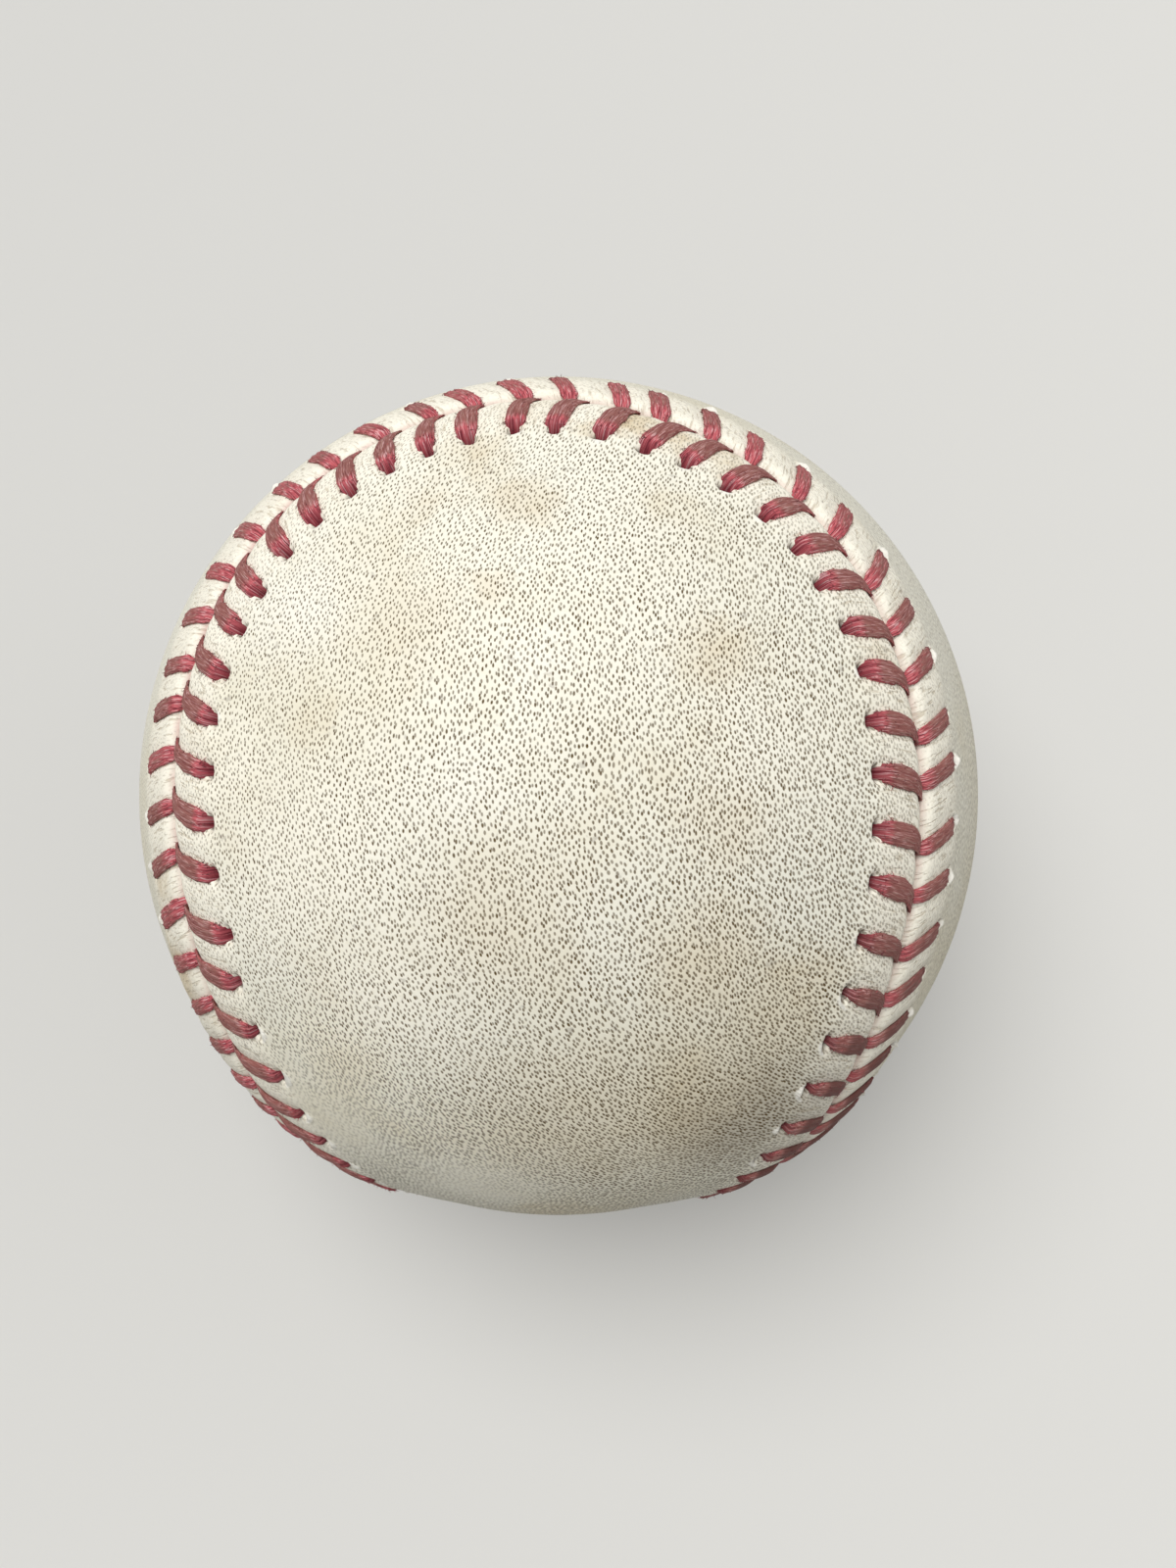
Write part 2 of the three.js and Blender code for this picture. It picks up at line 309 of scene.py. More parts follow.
def rollDrop(side, distance):  # the rolled edge is a quarter of an ellipse
    inward = np.clip(1 - distance / leatherForm["rollWidth"][side], 0, 1)
    return leatherForm["rollDepth"][side] * (1 - np.sqrt(1 - inward**2))


# Height of the leather over the plain ball: a broad ridge that falls away from the seam, puffs that
# follow a squared sine between the legs, and bell-shaped grooves beneath the legs.
def leatherHeight(number, distance, side):
    form = leatherForm
    aside = besideHole(side, number + legLean(side, number, distance))
    slope = form["ridgeWidth"] - form["shoulder"]
    ridge = form["lift"] * ease((form["ridgeWidth"] - distance) / slope)
    laced = ease(distance / form["rollWidth"][side])
    laced = laced * ease((form["lacedTo"] - distance) / form["lacedFade"])
    puff = form["pillow"] * np.sin(np.pi * aside / pitch) ** 2
    pressed = form["groove"] * bell(aside / form["grooveWidth"])
    return ridge + laced * (puff - pressed)


def edgeOffset(number):  # distance from the seam line to either panel's edge
    form = leatherForm
    opening = 0
    for side in sides.values():
        aside = besideHole(side, number + legReach(side, number))
        opening = opening + form["diveOpening"] * bell(aside / form["diveWidth"])
    return form["edgeGap"] + opening


# A hole: an oval, flat-bottomed bell with a bell-shaped lip beyond it.
def holeMarks(number, distance, side, lips):
    form = leatherForm
    which = np.round(number - firstHole(side)).astype(int) % stitches
    aside = besideHole(side, number) / form["holeHalfLength"][side]
    beyond = distance - lacing["holeOffset"][side] - strayAt(side, number)[1]
    slit = bell(aside**2 + (beyond / form["holeHalfWidth"][side]) ** 2)
    height, shift = lips[:, which]
    bow = form["lipWidth"] * aside**2  # a lip bends round its hole
    lip = bell(aside - shift) * bell((beyond - form["lipOffset"] + bow) / form["lipWidth"])
    return slit, lip * height


def rubbedDye(number, distance):  # dye that trails along the seam from the tips of the front legs
    form = leatherForm
    aside = besideHole(1, number + legReach(1, number)) / pitch
    trail = ease(form["dyeOnset"] * (1 + aside / form["dyeReach"])) * ease(1 - form["dyeStop"] * aside)
    much = form["dyeLeast"] + bells(number - lacing["phase"], form["dyePlaces"])
    return much * trail * bell(distance / form["dyeWidth"])


# The spine runs down the middle of a panel on a great circle. Each seam point has its place on it.
spineAxes = {  # along the spine at the neck, out from there, and across
    1: np.array([(0, 1, 0), (0, 0, 1), (1, 0, 0)]),
    -1: np.array([(-1, 0, 0), (0, 0, -1), (0, 1, 0)]),
}


def spineDirection(share, side):
    onward, outward = spineAxes[side][:2]
    over = seamFrame(share)[0]
    tip = np.pi - ball["neckWidth"] / (2 * ball["radius"])
    seen = np.arctan2(over @ onward, over @ outward) / tip
    angle = leatherForm["spineReach"] * np.sin(np.pi / 2 * seen)[:, None]
    return np.sin(angle) * onward + np.cos(angle) * outward


# A panel is a closed skin over a grid: columns go round the seam, rows come from the spine along the
# inner face, up the cut edge, over the rolled edge and along the outer face back to the spine.
def coverPanel(name, side):
    form = leatherForm
    columns = form["columns"]
    ridge = form["ridgeWidth"]
    share = (np.arange(columns) + 0.5) / columns
    number = stitchNumber(share)
    edge = edgeOffset(number)
    spine = spineDirection(share, side)
    random = np.random.default_rng(form["seed"] + side)
    holes = np.arange(stitches)
    lipHeights = np.maximum(random.uniform(*form["lipSpread"][side], stitches), 0)
    lipShifts = random.normal(0, form["lipStray"], stitches)
    lipHeights = lipHeights + varied(holes, side, "tearing")
    lips = np.stack([lipHeights, lipShifts + varied(holes, side, "tearShift")])

    rolled = form["rollWidth"][side] * (1 - np.cos(np.linspace(0, np.pi / 2, form["rollRows"])))
    laced = np.arange(*form["lacedRows"]) / 1000
    holed = np.arange(*form["holedRows"]) / 1000
    fading = np.linspace(form["fadingFrom"], ridge, form["fadingRows"])
    outward = np.concatenate([rolled, laced, holed, fading])
    distance = outward[:, None] + edge * ease(1 - outward / form["edgeReach"])[:, None]
    numbers = np.broadcast_to(number, distance.shape)
    shares = np.broadcast_to(share, distance.shape)
    slit, lip = holeMarks(numbers, distance, side, lips)
    height = leatherHeight(numbers, distance, side) - rollDrop(side, outward)[:, None]
    height = height - form["holeDepth"] * slit + form["lipHeight"][side] * lip
    outer = coverDirection(shares, side * distance) * (ball["radius"] + height)[..., None]

    toSpine = np.linspace(0, 1, form["flatRows"])[1:, None, None]
    border = coverDirection(share, np.full(columns, side * ridge))
    flat = unit(border * (1 - toSpine) + spine * toSpine) * ball["radius"]

    innerOut = np.array([ridge, *form["innerRows"]])
    innerDistance = innerOut[:, None] + edge * (innerOut == 0)[:, None]
    innerLift = form["lift"] * ease((ridge - innerOut) / (ridge - form["shoulder"]))[:, None]
    inner = coverDirection(np.broadcast_to(share, innerDistance.shape), side * innerDistance)
    inner = inner * (ball["radius"] - ball["leather"] + innerLift)[..., None]
    innerFlat = unit(border + spine)[None] * (ball["radius"] - ball["leather"])
    innerSpine = spine[None] * (ball["radius"] - ball["leather"])

    rows = np.concatenate([innerSpine, innerFlat, inner, outer, flat])
    grid = np.arange(rows.shape[0] * columns).reshape(rows.shape[0], columns)
    turned = np.arange(columns)  # columns that face each other over the spine share its point
    mirror = (columns // 2 - 1 - turned if side > 0 else columns - 1 - turned) % columns
    for row in (0, -1):
        grid[row] = grid[row][np.minimum(turned, mirror)]
    used, faces = np.unique(bandFaces(grid), return_inverse=True)
    before, after = len(rows) - len(outer) - len(flat), len(flat)

    def overRows(values, far):  # a value on every point, from the outer rows that it is known on
        near = np.broadcast_to(values[0], (before, columns))
        return np.concatenate([near, values, np.full((after, columns), far)]).ravel()[used]

    around = 2 * np.pi * stitchShare(numbers + legLean(side, numbers, distance))  # runs with the legs
    loop = pitch * stitches / (2 * np.pi)
    seamPlace = [overRows(v * 1000, far * 1000) for v, far in (
        (loop * np.cos(around), loop),
        (loop * np.sin(around), 0.0),
        (distance, ridge),
    )]
    values = dict(
        seamPlace=np.stack(seamPlace, -1),
        seamDistance=overRows(distance * 1000, ridge * 1000),
        # darkens the hole pits: partly dirt, partly painted shade
        holeDirtAndShade=overRows(slit, 0),
        rubbedDye=overRows(rubbedDye(numbers, distance), 0),
        tornLip=overRows(lip, 0),
    )
    return makePiece(name, laidDown(rows.reshape(-1, 3))[used], faces.reshape(-1, 3), values)


# Thread

threadForm = dict(  # shares are of a leg's width, thickness or length
    width={1: 0.00162, -1: 0.00138},
    slim={1: 0.16, -1: 0.10},  # share that a leg is narrower at its hole
    slimTo={1: 0.28, -1: 0.2},
    taper=0.90,  # front legs are leaves, narrower by this at a fine tip
    taperFrom=0.44,
    taperBend=1.4,
    narrower=0.08,  # back legs are bands that narrow by this
    roundEnd=0.45,  # and by this at a round end
    roundFrom=0.84,
    thickness={1: 0.00058, -1: 0.00048},
    swellLeast=0.55,  # share of it that a leg swells from, as a sine
    swellStart=0.1,
    swellSpan=0.85,
    thinTip={1: 0.7, -1: 0.0},  # share that a leg is thinner at its tip
    thinFrom=0.55,
    soilFrom={1: 0.10, -1: 0.55},
    soilFade={1: 0.26, -1: 0.40},
    twist={1: 2.6, -1: 2.0},  # radians that the strands turn along a leg
    around=32,  # points round the thread
    under=3,  # stations of the hidden run to the next hole
    strands=8,
    ridges=0.10,  # how far the strands stand out
    spread=0.22,  # and how much further where they leave the hole
    spreadTo=0.22,  # share of a leg to where they lie together
    jitter=0.06,  # differences in width from leg to leg
    leanJitter=0.05,  # and in lean
    raggedness=0.05,
    seat=0.40,  # share of its thickness that a leg's middle rides over the leather
    sunk=0.8,  # share of the rolled edge's drop that it follows
    rise=0.10,  # share of a leg in which it comes up from its hole
    dive=0.08,  # and in which it dives into the seam
    squareness=0.85,  # power that fills out its lens-shaped section
    fibreStep=10,  # steps of the fibres' pattern from leg to leg
    fibreLength=6.0,  # and along a leg
    bare=3,  # stations without loose fibres at either end of a leg
    seed=23,
)
legStations = np.r_[0:0.12:6j, 0.18:0.83:12j, 0.88:1:7j]  # closer together at the ends


def legWidth(side, t, holes):
    form = threadForm
    full = form["width"][side] * (1 + varied(holes, side, "fullness"))
    slim = form["slim"][side] + varied(holes, side, "narrowing")
    full = full * (1 - slim * (1 - ease(t / form["slimTo"][side])))
    if side < 0:
        roundEnd = form["roundEnd"] * easeFrom(t, form["roundFrom"])
        return full * (1 - form["narrower"] * t) * (1 - roundEnd)
    taper = form["taper"] - varied(holes, side, "bluntness")
    toTip = np.clip((t - form["taperFrom"]) / (1 - form["taperFrom"]), 0, 1)
    return full * (1 - taper * toTip ** form["taperBend"])


def legThickness(side, t):
    form = threadForm
    wave = np.sin(np.pi * np.clip(form["swellStart"] + form["swellSpan"] * t, 0, 1))
    swell = form["swellLeast"] + (1 - form["swellLeast"]) * wave
    return form["thickness"][side] * swell * (1 - form["thinTip"][side] * easeFrom(t, form["thinFrom"]))


def legSoil(side, t, holes):  # dirt gathers where a leg stands proud
    toSeam = ease((t - threadForm["soilFrom"][side]) / threadForm["soilFade"][side])
    proud = toSeam if side > 0 else 1 - toSeam
    return proud + varied(holes, side, "darkening")


# One strand of the lacing is a closed tube: a lens-shaped section with strand ridges, carried along
# a path that rises from a hole, crosses to the seam, dives and runs under the other panel.
def stitchThread(name, firstSide):
    form = threadForm
    random = np.random.default_rng(form["seed"] + firstSide)
    legs = np.arange(stitches)
    t = legStations
    sided = {}
    for side, course in legCourse.items():
        hole = firstHole(side) - legs + holeStray[side][0][-legs]
        off = lacing["holeOffset"][side] + holeStray[side][1][-legs]
        reach = course["reach"] + holeStray[side][2][-legs]
        reach = reach + random.normal(0, form["leanJitter"], stitches)
        lean, across = legPath(side, t)
        number = hole[:, None] - reach[:, None] * lean
        distance = off[:, None] * (1 - across) - course["past"] * across
        seat = leatherHeight(number, np.maximum(distance, 0), side)
        seat = seat - form["sunk"] * rollDrop(side, distance)
        thick = legThickness(side, t)
        shown = ease(t / form["rise"]) * ease((1 - t) / form["dive"])
        height = (seat + form["seat"] * thick) * shown - lacing["underDepth"] * (1 - shown)
        holes = np.mod(-legs, stitches)[:, None]
        width = legWidth(side, t, holes)
        soil = legSoil(side, t, holes)
        sided[side] = (hole, off, number, distance * side, height, width, thick, soil)

    def bySide(index):  # the front or the back leg's values, leg by leg
        onFront = (legs % 2 == 0) == (firstSide > 0)
        front, back = sided[1][index], sided[-1][index]
        if front.shape == legs.shape:
            return np.where(onFront, front, back)
        return np.where(onFront[:, None], front, back)

    hole, off, number, offset, height, width, thick, soil = map(bySide, range(8))
    side = np.where(legs % 2 == 0, firstSide, -firstSide)
    nextHole = np.append(hole[1:], hole[0] - stitches)
    nextOff = np.roll(off * side, -1)
    under = np.linspace(0, 1, form["under"] + 2)[1:-1]

    def runUnder(start, end):  # straight from the end of a leg to the next hole
        return start[:, -1:] * (1 - under) + end[:, None] * under

    number = np.append(number, runUnder(number, nextHole), 1)
    offset = np.append(offset, runUnder(offset, nextOff), 1)
    height = np.append(height, np.full((stitches, form["under"]), -lacing["underDepth"]), 1)
    width, thick, soil = [
        np.append(value, runUnder(value, np.roll(value[:, 0], -1)), 1) for value in (width, thick, soil)
    ]
    stations = number.shape[1]
    ragged = random.normal(0, form["raggedness"], number.shape)
    ragged = (np.roll(ragged, 1, 1) + ragged) / 2
    width = width * (1 + random.normal(0, form["jitter"], (stitches, 1)) + ragged)

    share = stitchShare(number)
    direction = coverDirection(share, offset)
    centre = (direction * (ball["radius"] + height)[..., None]).reshape(-1, 3)
    along = seamFrame(share)[1].reshape(-1, 3)
    onward = unit(np.roll(centre, -1, 0) - np.roll(centre, 1, 0))
    flatways = unit(along - np.einsum("ij,ij->i", along, onward)[:, None] * onward)
    square = np.cross(onward, flatways)

    psi = 2 * np.pi * np.arange(form["around"]) / form["around"]
    twist = np.where(side > 0, form["twist"][1], form["twist"][-1])
    twist = twist[:, None] * np.linspace(0, 1, stations)
    phase = (twist + random.uniform(0, 2 * np.pi, (stitches, 1))).reshape(-1, 1)
    strand = np.cos(form["strands"] * psi + phase)
    loose = form["spread"] * (1 - ease(t / form["spreadTo"]))
    loose = np.append(loose, np.zeros(form["under"]))
    ridges = 1 + (form["ridges"] + np.tile(loose, stitches))[:, None] * strand
    fullEnds = np.sign(np.cos(psi)) * np.abs(np.cos(psi)) ** form["squareness"]
    lensX = fullEnds * width.reshape(-1, 1) / 2
    lensY = np.sin(psi) * thick.reshape(-1, 1) / 2 * ridges
    points = centre[:, None] + lensX[..., None] * flatways[:, None]
    points = points + lensY[..., None] * square[:, None]
    grid = np.arange(points.shape[0] * form["around"]).reshape(points.shape[:2])
    faces = bandFaces(np.concatenate([grid, grid[:1]]))

    shape = (stitches, stations, form["around"])
    legShare = np.broadcast_to(np.append(t, np.ones(form["under"]))[None, :, None], shape)
    alongLeg = legs[:, None, None] * form["fibreStep"] + legShare * form["fibreLength"]
    alongLeg = alongLeg.reshape(points.shape[:2])
    values = dict(
        legShare=legShare.ravel(),
        legSoil=np.broadcast_to(soil[..., None], shape).ravel(),
        legTone=np.broadcast_to(random.uniform(0, 1, (stitches, 1, 1)), shape).ravel(),
        strand=strand.ravel(),
        fibre=np.stack([alongLeg, lensX * 1000, lensY * 1000], -1).reshape(-1, 3),
    )
    thread = makePiece(name, laidDown(points.reshape(-1, 3)), faces, values)
    shown = slice(form["bare"], len(t) - form["bare"])
    skin = points.reshape(*shape, 3)[:, shown]
    middle = centre.reshape(stitches, stations, 1, 3)[:, shown]
    lengthways = onward.reshape(stitches, stations, 1, 3)[:, shown]
    return thread, skin, middle, lengthways


# Loose fibres on a thread: each is a three-sided spike on a bent line, root plus way times s plus
# bend times s squared, thinning to a point. Some fray back from the hole.
fuzzForm = dict(
    perLeg=72,
    frayed=0.34,  # share of them that fray
    frayStations=5,  # how far from the hole those start
    length=(0.00010, 0.00030),
    fray=1.5,  # how much longer the frayed ones are
    back=0.6,  # and how long those of the back legs are
    radius=0.000030,
    outward=0.8,
    sway=0.7,  # how far they lie along the leg
    swept=1.1,  # and the frayed ones back from it
    stray=0.25,
    droop=0.35,
    curl=0.4,
    rings=(-0.1, 0.35, 0.7),  # places of the rings of points on a fibre
    thinning=(1.0, 0.85, 0.6),  # and its radius there
    seed=37,
)


def threadFuzz(name, skin, middle, lengthways, firstSide):
    form = fuzzForm
    random = np.random.default_rng(form["seed"])
    legs, stations, around = skin.shape[:3]
    total = legs * form["perLeg"]
    leg = np.repeat(np.arange(legs), form["perLeg"])
    frays = random.uniform(0, 1, total) < form["frayed"]
    atHole = random.integers(0, form["frayStations"], total)
    station = np.where(frays, atHole, random.integers(0, stations, total))
    place = random.integers(0, around, total)
    root = skin[leg, station, place]
    out = unit(root - middle[leg, station, 0])
    up = unit(root)
    along = random.normal(0, form["sway"], total) - form["swept"] * frays
    on = lengthways[leg, station, 0] * along[:, None]
    way = unit(form["outward"] * out + on + random.normal(0, form["stray"], (total, 3)))
    bend = random.normal(0, form["curl"], (total, 3)) - form["droop"] * up
    onFront = (leg % 2 == 0) == (firstSide > 0)
    longer = np.where(frays, form["fray"], 1) * np.where(onFront, 1, form["back"])
    length = random.uniform(*form["length"], (total, 1)) * longer[:, None]
    s = np.array(form["rings"])[:, None]
    line = root[:, None] + (way * length)[:, None] * s + (bend * length)[:, None] * s**2
    tip = root + way * length + bend * length
    aside = unit(np.cross(way, up) + 1e-6)
    upright = np.cross(way, aside)
    angle = 2 * np.pi * np.arange(3) / 3
    spoke = np.cos(angle)[:, None] * aside[:, None] + np.sin(angle)[:, None] * upright[:, None]
    radius = form["radius"] * np.array(form["thinning"])[:, None, None]
    rings = line[:, :, None] + radius * spoke[:, None]
    points = np.concatenate([rings.reshape(total, 9, 3), tip[:, None]], 1)
    a = np.arange(6)
    b = np.array([1, 2, 0, 4, 5, 3])
    walls = np.concatenate([np.stack([a, b, b + 3], 1), np.stack([a, b + 3, a + 3], 1)])
    ends = np.array([[0, 2, 1], [6, 7, 9], [7, 8, 9], [8, 6, 9]])
    pattern = np.concatenate([walls, ends])
    faces = (np.arange(total)[:, None, None] * 10 + pattern).reshape(-1, 3)
    tone = np.repeat(random.uniform(0, 1, total), 10)
    return makePiece(name, laidDown(points.reshape(-1, 3)), faces, dict(fibreTone=tone))


# Materials

def srgb(red, green, blue):  # a colour as a screen shows it, to light
    c = np.array([red, green, blue]) / 255
    light = np.where(c <= 0.04045, c / 12.92, ((c + 0.055) / 1.055) ** 2.4)
    return (*light.tolist(), 1.0)


def mathsOf(operation):  # a Math node for an operator, with the socket on its left and on its right
    def onLeft(socket, other):
        return socket.math(operation, socket, other)

    def onRight(socket, other):
        return socket.math(operation, other, socket)

    return onLeft, onRight


class Wire:
    # One socket of a material's nodes: maths on it adds Math nodes, and node() adds any other
    def __init__(self, tree, socket=None):
        self.tree = tree
        self.socket = socket

    def node(self, kind, settings=None, sockets=None, out=0):
        made = self.tree.nodes.new("ShaderNode" + kind)
        for key, value in (settings or {}).items():
            setattr(made, key, value)
        for key, value in (sockets or {}).items():
            if isinstance(value, Wire):
                self.tree.links.new(value.socket, made.inputs[key])
            else:
                made.inputs[key].default_value = value
        return Wire(self.tree, made.outputs[out] if len(made.outputs) else None)

    def beside(self, out):  # another output of the same node
        return Wire(self.tree, self.socket.node.outputs[out])

    def math(self, operation, first, second=0.0):
        return self.node("Math", {"operation": operation}, {0: first, 1: second})

    __add__, __radd__ = mathsOf("ADD")
    __sub__, __rsub__ = mathsOf("SUBTRACT")
    __mul__, __rmul__ = mathsOf("MULTIPLY")
    __truediv__, __rtruediv__ = mathsOf("DIVIDE")
    __pow__ = mathsOf("POWER")[0]


def freshNodes(owner):  # of a material or the world
    owner.use_nodes = True
    owner.node_tree.nodes.clear()
    return Wire(owner.node_tree)


def newMaterial(name):
    material = bpy.data.materials.new(name)
    return material, freshNodes(material)


def eased(x, low, high):  # 0 below low, 1 above high and an S between
    ends = {"Value": x, "From Min": low, "From Max": high}
    return x.node("MapRange", {"interpolation_type": "SMOOTHSTEP"}, ends)


def mixed(share, first, second):
    return share.node("Mix", {"data_type": "RGBA"}, {0: share, 6: first, 7: second}, 2)


def layered(colour, look, layers):  # tints of a look over a colour, each with its share
    for share, tint in layers:
        colour = mixed(share, colour, look[tint])
    return colour


def vectorMath(operation, *parts, out=0):
    return parts[0].node("VectorMath", {"operation": operation}, dict(enumerate(parts)), out)


def dot(first, second):
    return vectorMath("DOT_PRODUCT", first, second, out="Value")


def cloud(where, scale, detail=2.0, roughness=0.5):
    sockets = {"Vector": where, "Scale": scale, "Detail": detail, "Roughness": roughness}
    return where.node("TexNoise", {}, sockets)


def attribute(start, name, out="Fac"):
    return start.node("Attribute", {"attribute_name": name}, {}, out)


def objectPlace(start):
    return start.node("TexCoord", {}, {}, "Object")


def stretched(where, turn, scale):
    return where.node("Mapping", {}, {"Vector": where, "Rotation": turn, "Scale": scale})


def surface(start, colour, roughness, relief=None, more=None):  # relief is height, strength and depth
    sockets = {"Base Color": colour, "Roughness": roughness, **(more or {})}
    if relief:
        bump = dict(zip(("Height", "Strength", "Distance"), relief))
        sockets["Normal"] = start.node("Bump", {}, bump)
    shader = start.node("BsdfPrincipled", {}, sockets, "BSDF")
    start.node("OutputMaterial", {}, {"Surface": shader})


leatherLook = dict(
    cream=srgb(241, 238, 223),
    warm=srgb(233, 226, 203),
    # bleached leather, and painted highlight on the torn lips
    paleAndHighlight=srgb(247, 244, 234),
    # clean leather, and painted light near the seam and on the right flank
    cleanAndLit=srgb(253, 248, 232),
    pore=srgb(82, 60, 6),
    stain=srgb(208, 186, 146),
    fold=srgb(188, 172, 144),
    # grime, and painted shade in the hole pits and at the low right
    grimeAndShade=srgb(66, 42, 36),
    rubbed=srgb(214, 160, 154),  # dye rubbed off the thread
    crease=srgb(186, 156, 148),  # painted shade, with a pink tint, down in the seam
    poreLength=0.385,  # mm from pore to pore along the panel
    poreBreadth=0.305,  # and across it
    poreSlant=math.radians(45),  # their rows run slantwise
    poreLean=(-0.20, 0.0125),  # how far their lines lean in a lobe's middle, and more by mm along it
    poreHalf=(0.38, 0.264, 1.0),  # half a pore's length and breadth, in those steps
    poreScatter=0.68,
    poreDrift=(1.6, 1.6, 0),  # mm they are shifted from place to place
    driftScale=0.10,
    poreCore=(0.42, 0.16),  # where a pore starts to fade, at the least and how much more
    poreRim=(1.04, 0.24),  # and where it ends
    poreDepth=(0.68, 0.32),  # and how dark it is
    poreTurn=0.012,  # how far they turn with each mm to the right
    lowTurn=0.00105,  # and more low on a lobe, with each mm down and to the right of lowFrom
    lowFrom=(18.0, 2.0),  # mm to the left of a lobe's middle, and below it
    poreWear=(0.25, -0.19, 0.0),  # they are wider towards this side, which is less worn
    neckPattern=(math.radians(38), math.radians(46)),  # along the spine, where the neck's pores end
    laced=(3.2, 6.8),  # mm from the seam over which the stretched leather ends
    hidden=(0.6, 2.2),  # and the edge that lies deep, painted cleaner and brighter: partly clean leather, partly painted light where the rolled edge catches the light
    creased=(0.1, 0.7),  # and the painted shade in the seam
    faint=(9.0, 17.0),  # and the back panel's faint pores
    wrinkles=(4.6, 4.6, 0.8),  # how many to a mm round the seam and across it
    markDrift=0.007,  # how far a mark's edge strays in all
    markFade=1.4,  # radii over which it fades
    noise=dict(  # patterns: how many to a metre, detail and roughness
        patchy=(220.0, 3.0),
        fine=(1100.0, 2.0),
        broad=(46.0, 4.0, 0.6),
        blot=(90.0, 5.0, 0.62),
        mottle=(3400.0, 2.0, 0.6),
        speck=(4200.0, 1.0),
        grain=(2600.0, 2.0),
        ragged=(300.0, 5.0, 0.65),  # edges of the marks
    ),
)
stains = (  # marks on the front lobe: direction, radius in mm, and how strong
    (-0.027, 0.262, 0.965, 2.8, 0.42), (-0.078, 0.046, 0.996, 2.2, 0.30),
    (-0.220, 0.264, 0.939, 2.2, 0.30), (-0.208, 0.008, 0.978, 4.4, 0.22),
    (0.323, -0.048, 0.945, 3.0, 0.40), (0.339, -0.335, 0.879, 4.2, 0.28),
    (-0.054, -0.506, 0.861, 6.5, 0.26), (-0.379, -0.609, 0.697, 2.6, 0.12),
    (-0.357, -0.721, 0.594, 4.0, 0.16), (0.300, -0.555, 0.776, 5.2, 0.32),
    (0.433, -0.638, 0.637, 6.0, 0.24), (0.020, -0.840, 0.542, 9.0, 0.28),
    (0.280, -0.800, 0.531, 8.0, 0.34), (0.249, 0.426, 0.870, 2.0, 0.80),
    (0.170, 0.463, 0.870, 2.2, 0.85), (0.090, 0.444, 0.892, 1.6, 0.60),
    (0.342, 0.391, 0.854, 1.8, 0.60), (-0.120, 0.372, 0.920, 2.4, 0.40),
    (-0.759, -0.367, 0.538, 2.2, 0.60), (-0.747, -0.510, 0.426, 3.2, 0.80),
)
paleMarks = (  # where it has bleached
    (-0.454, 0.073, 0.888, 6.0, 0.60), (-0.006, -0.093, 0.996, 3.4, 0.35), (-0.120, -0.289, 0.950, 3.2, 0.35),
)
cleanAndLitMarks = (  # where it is rubbed clean; the mark on the right flank is painted light from the right
    (-0.571, -0.219, 0.791, 5.0, 0.80), (-0.431, -0.408, 0.805, 9.0, 0.85),
    (-0.309, -0.613, 0.727, 8.0, 0.80), (0.437, -0.191, 0.879, 6.0, 0.40),
)
paintedShadeMarks = ((0.436, -0.801, 0.411, 8.0, 0.38),)  # painted shade: the low right, where shade falls, is darkened grey
smoothMarks = (  # where its pores are rubbed away
    (-0.46, -0.80, 0.38, 7.0, 0.75), (-0.14, -0.94, 0.31, 6.0, 0.65),
)


# Pores on one chart of the panel. The ball is laid flat about a place on the spine so that areas stay
# true: each way off is the part of the direction along it, times the root of 2 over 1 plus the part
# towards the middle. The pores are dark spots in stretched cells.
def porePattern(start, toward, side, angle):
    look = leatherLook
    onward, outward, sideways = laidDown(spineAxes[side])
    middle = dot(toward, math.sin(angle) * onward + math.cos(angle) * outward)
    along = dot(toward, math.cos(angle) * onward - math.sin(angle) * outward)
    across = dot(toward, sideways)
    spread = (2 / (1 + middle)) ** 0.5 * (ball["radius"] * 1000)
    far = along * spread
    aside = across * spread
    leftward, downward = look["lowFrom"]
    lowest = start.math("MAXIMUM", aside + leftward, 0.0) * start.math("MAXIMUM", -downward - far, 0.0)
    turn = start.math("MAXIMUM", aside, 0.0) * look["poreTurn"] + lowest * look["lowTurn"]
    bent = aside - far * (look["poreLean"][0] + far * (look["poreLean"][1] / 2))
    flat = start.node("CombineXYZ", {}, {0: far, 1: bent})
    drift = cloud(flat, look["driftScale"], 3.0).beside(1)
    drift = vectorMath("MULTIPLY_ADD", drift, look["poreDrift"], flat)
    steps = (1 / look["poreLength"], 1 / look["poreBreadth"], 1)
    cells = stretched(drift, (0, 0, look["poreSlant"]), steps)
    spotted = {"Vector": cells, "Scale": 1.0, "Randomness": look["poreScatter"]}
    spots = start.node("TexVoronoi", {"voronoi_dimensions": "2D"}, spotted)
    off = vectorMath("SUBTRACT", cells, spots.beside(2))
    turned = {"Vector": off, "Angle": turn - look["poreSlant"]}
    off = start.node("VectorRotate", {"rotation_type": "Z_AXIS"}, turned)
    off = vectorMath("LENGTH", vectorMath("DIVIDE", off, look["poreHalf"]), out="Value")
    off = off / (1 + dot(toward, look["poreWear"]))
    chance = start.node("SeparateColor", {}, {0: spots.beside(1)})
    core, rim = [least + more * chance for least, more in (look["poreCore"], look["poreRim"])]
    least, more = look["poreDepth"]
    return (1 - eased(off, core, rim)) * (least + more * chance.beside(1))


def panelPores(start, toward, side):  # the charts of the neck and the two lobes, faded into each other
    onward, outward = [dot(toward, way) for way in laidDown(spineAxes[side][:2])]
    angle = start.math("ARCTAN2", onward, outward)
    onLobe = eased(start.math("ABSOLUTE", angle), *leatherLook["neckPattern"])
    upper = start.math("GREATER_THAN", angle, 0.0)
    neck = porePattern(start, toward, side, 0.0) * (1 - onLobe)
    lobes = [porePattern(start, toward, side, turn) for turn in (math.pi / 2, -math.pi / 2)]
    return neck + onLobe * (upper * lobes[0] + (1 - upper) * lobes[1])


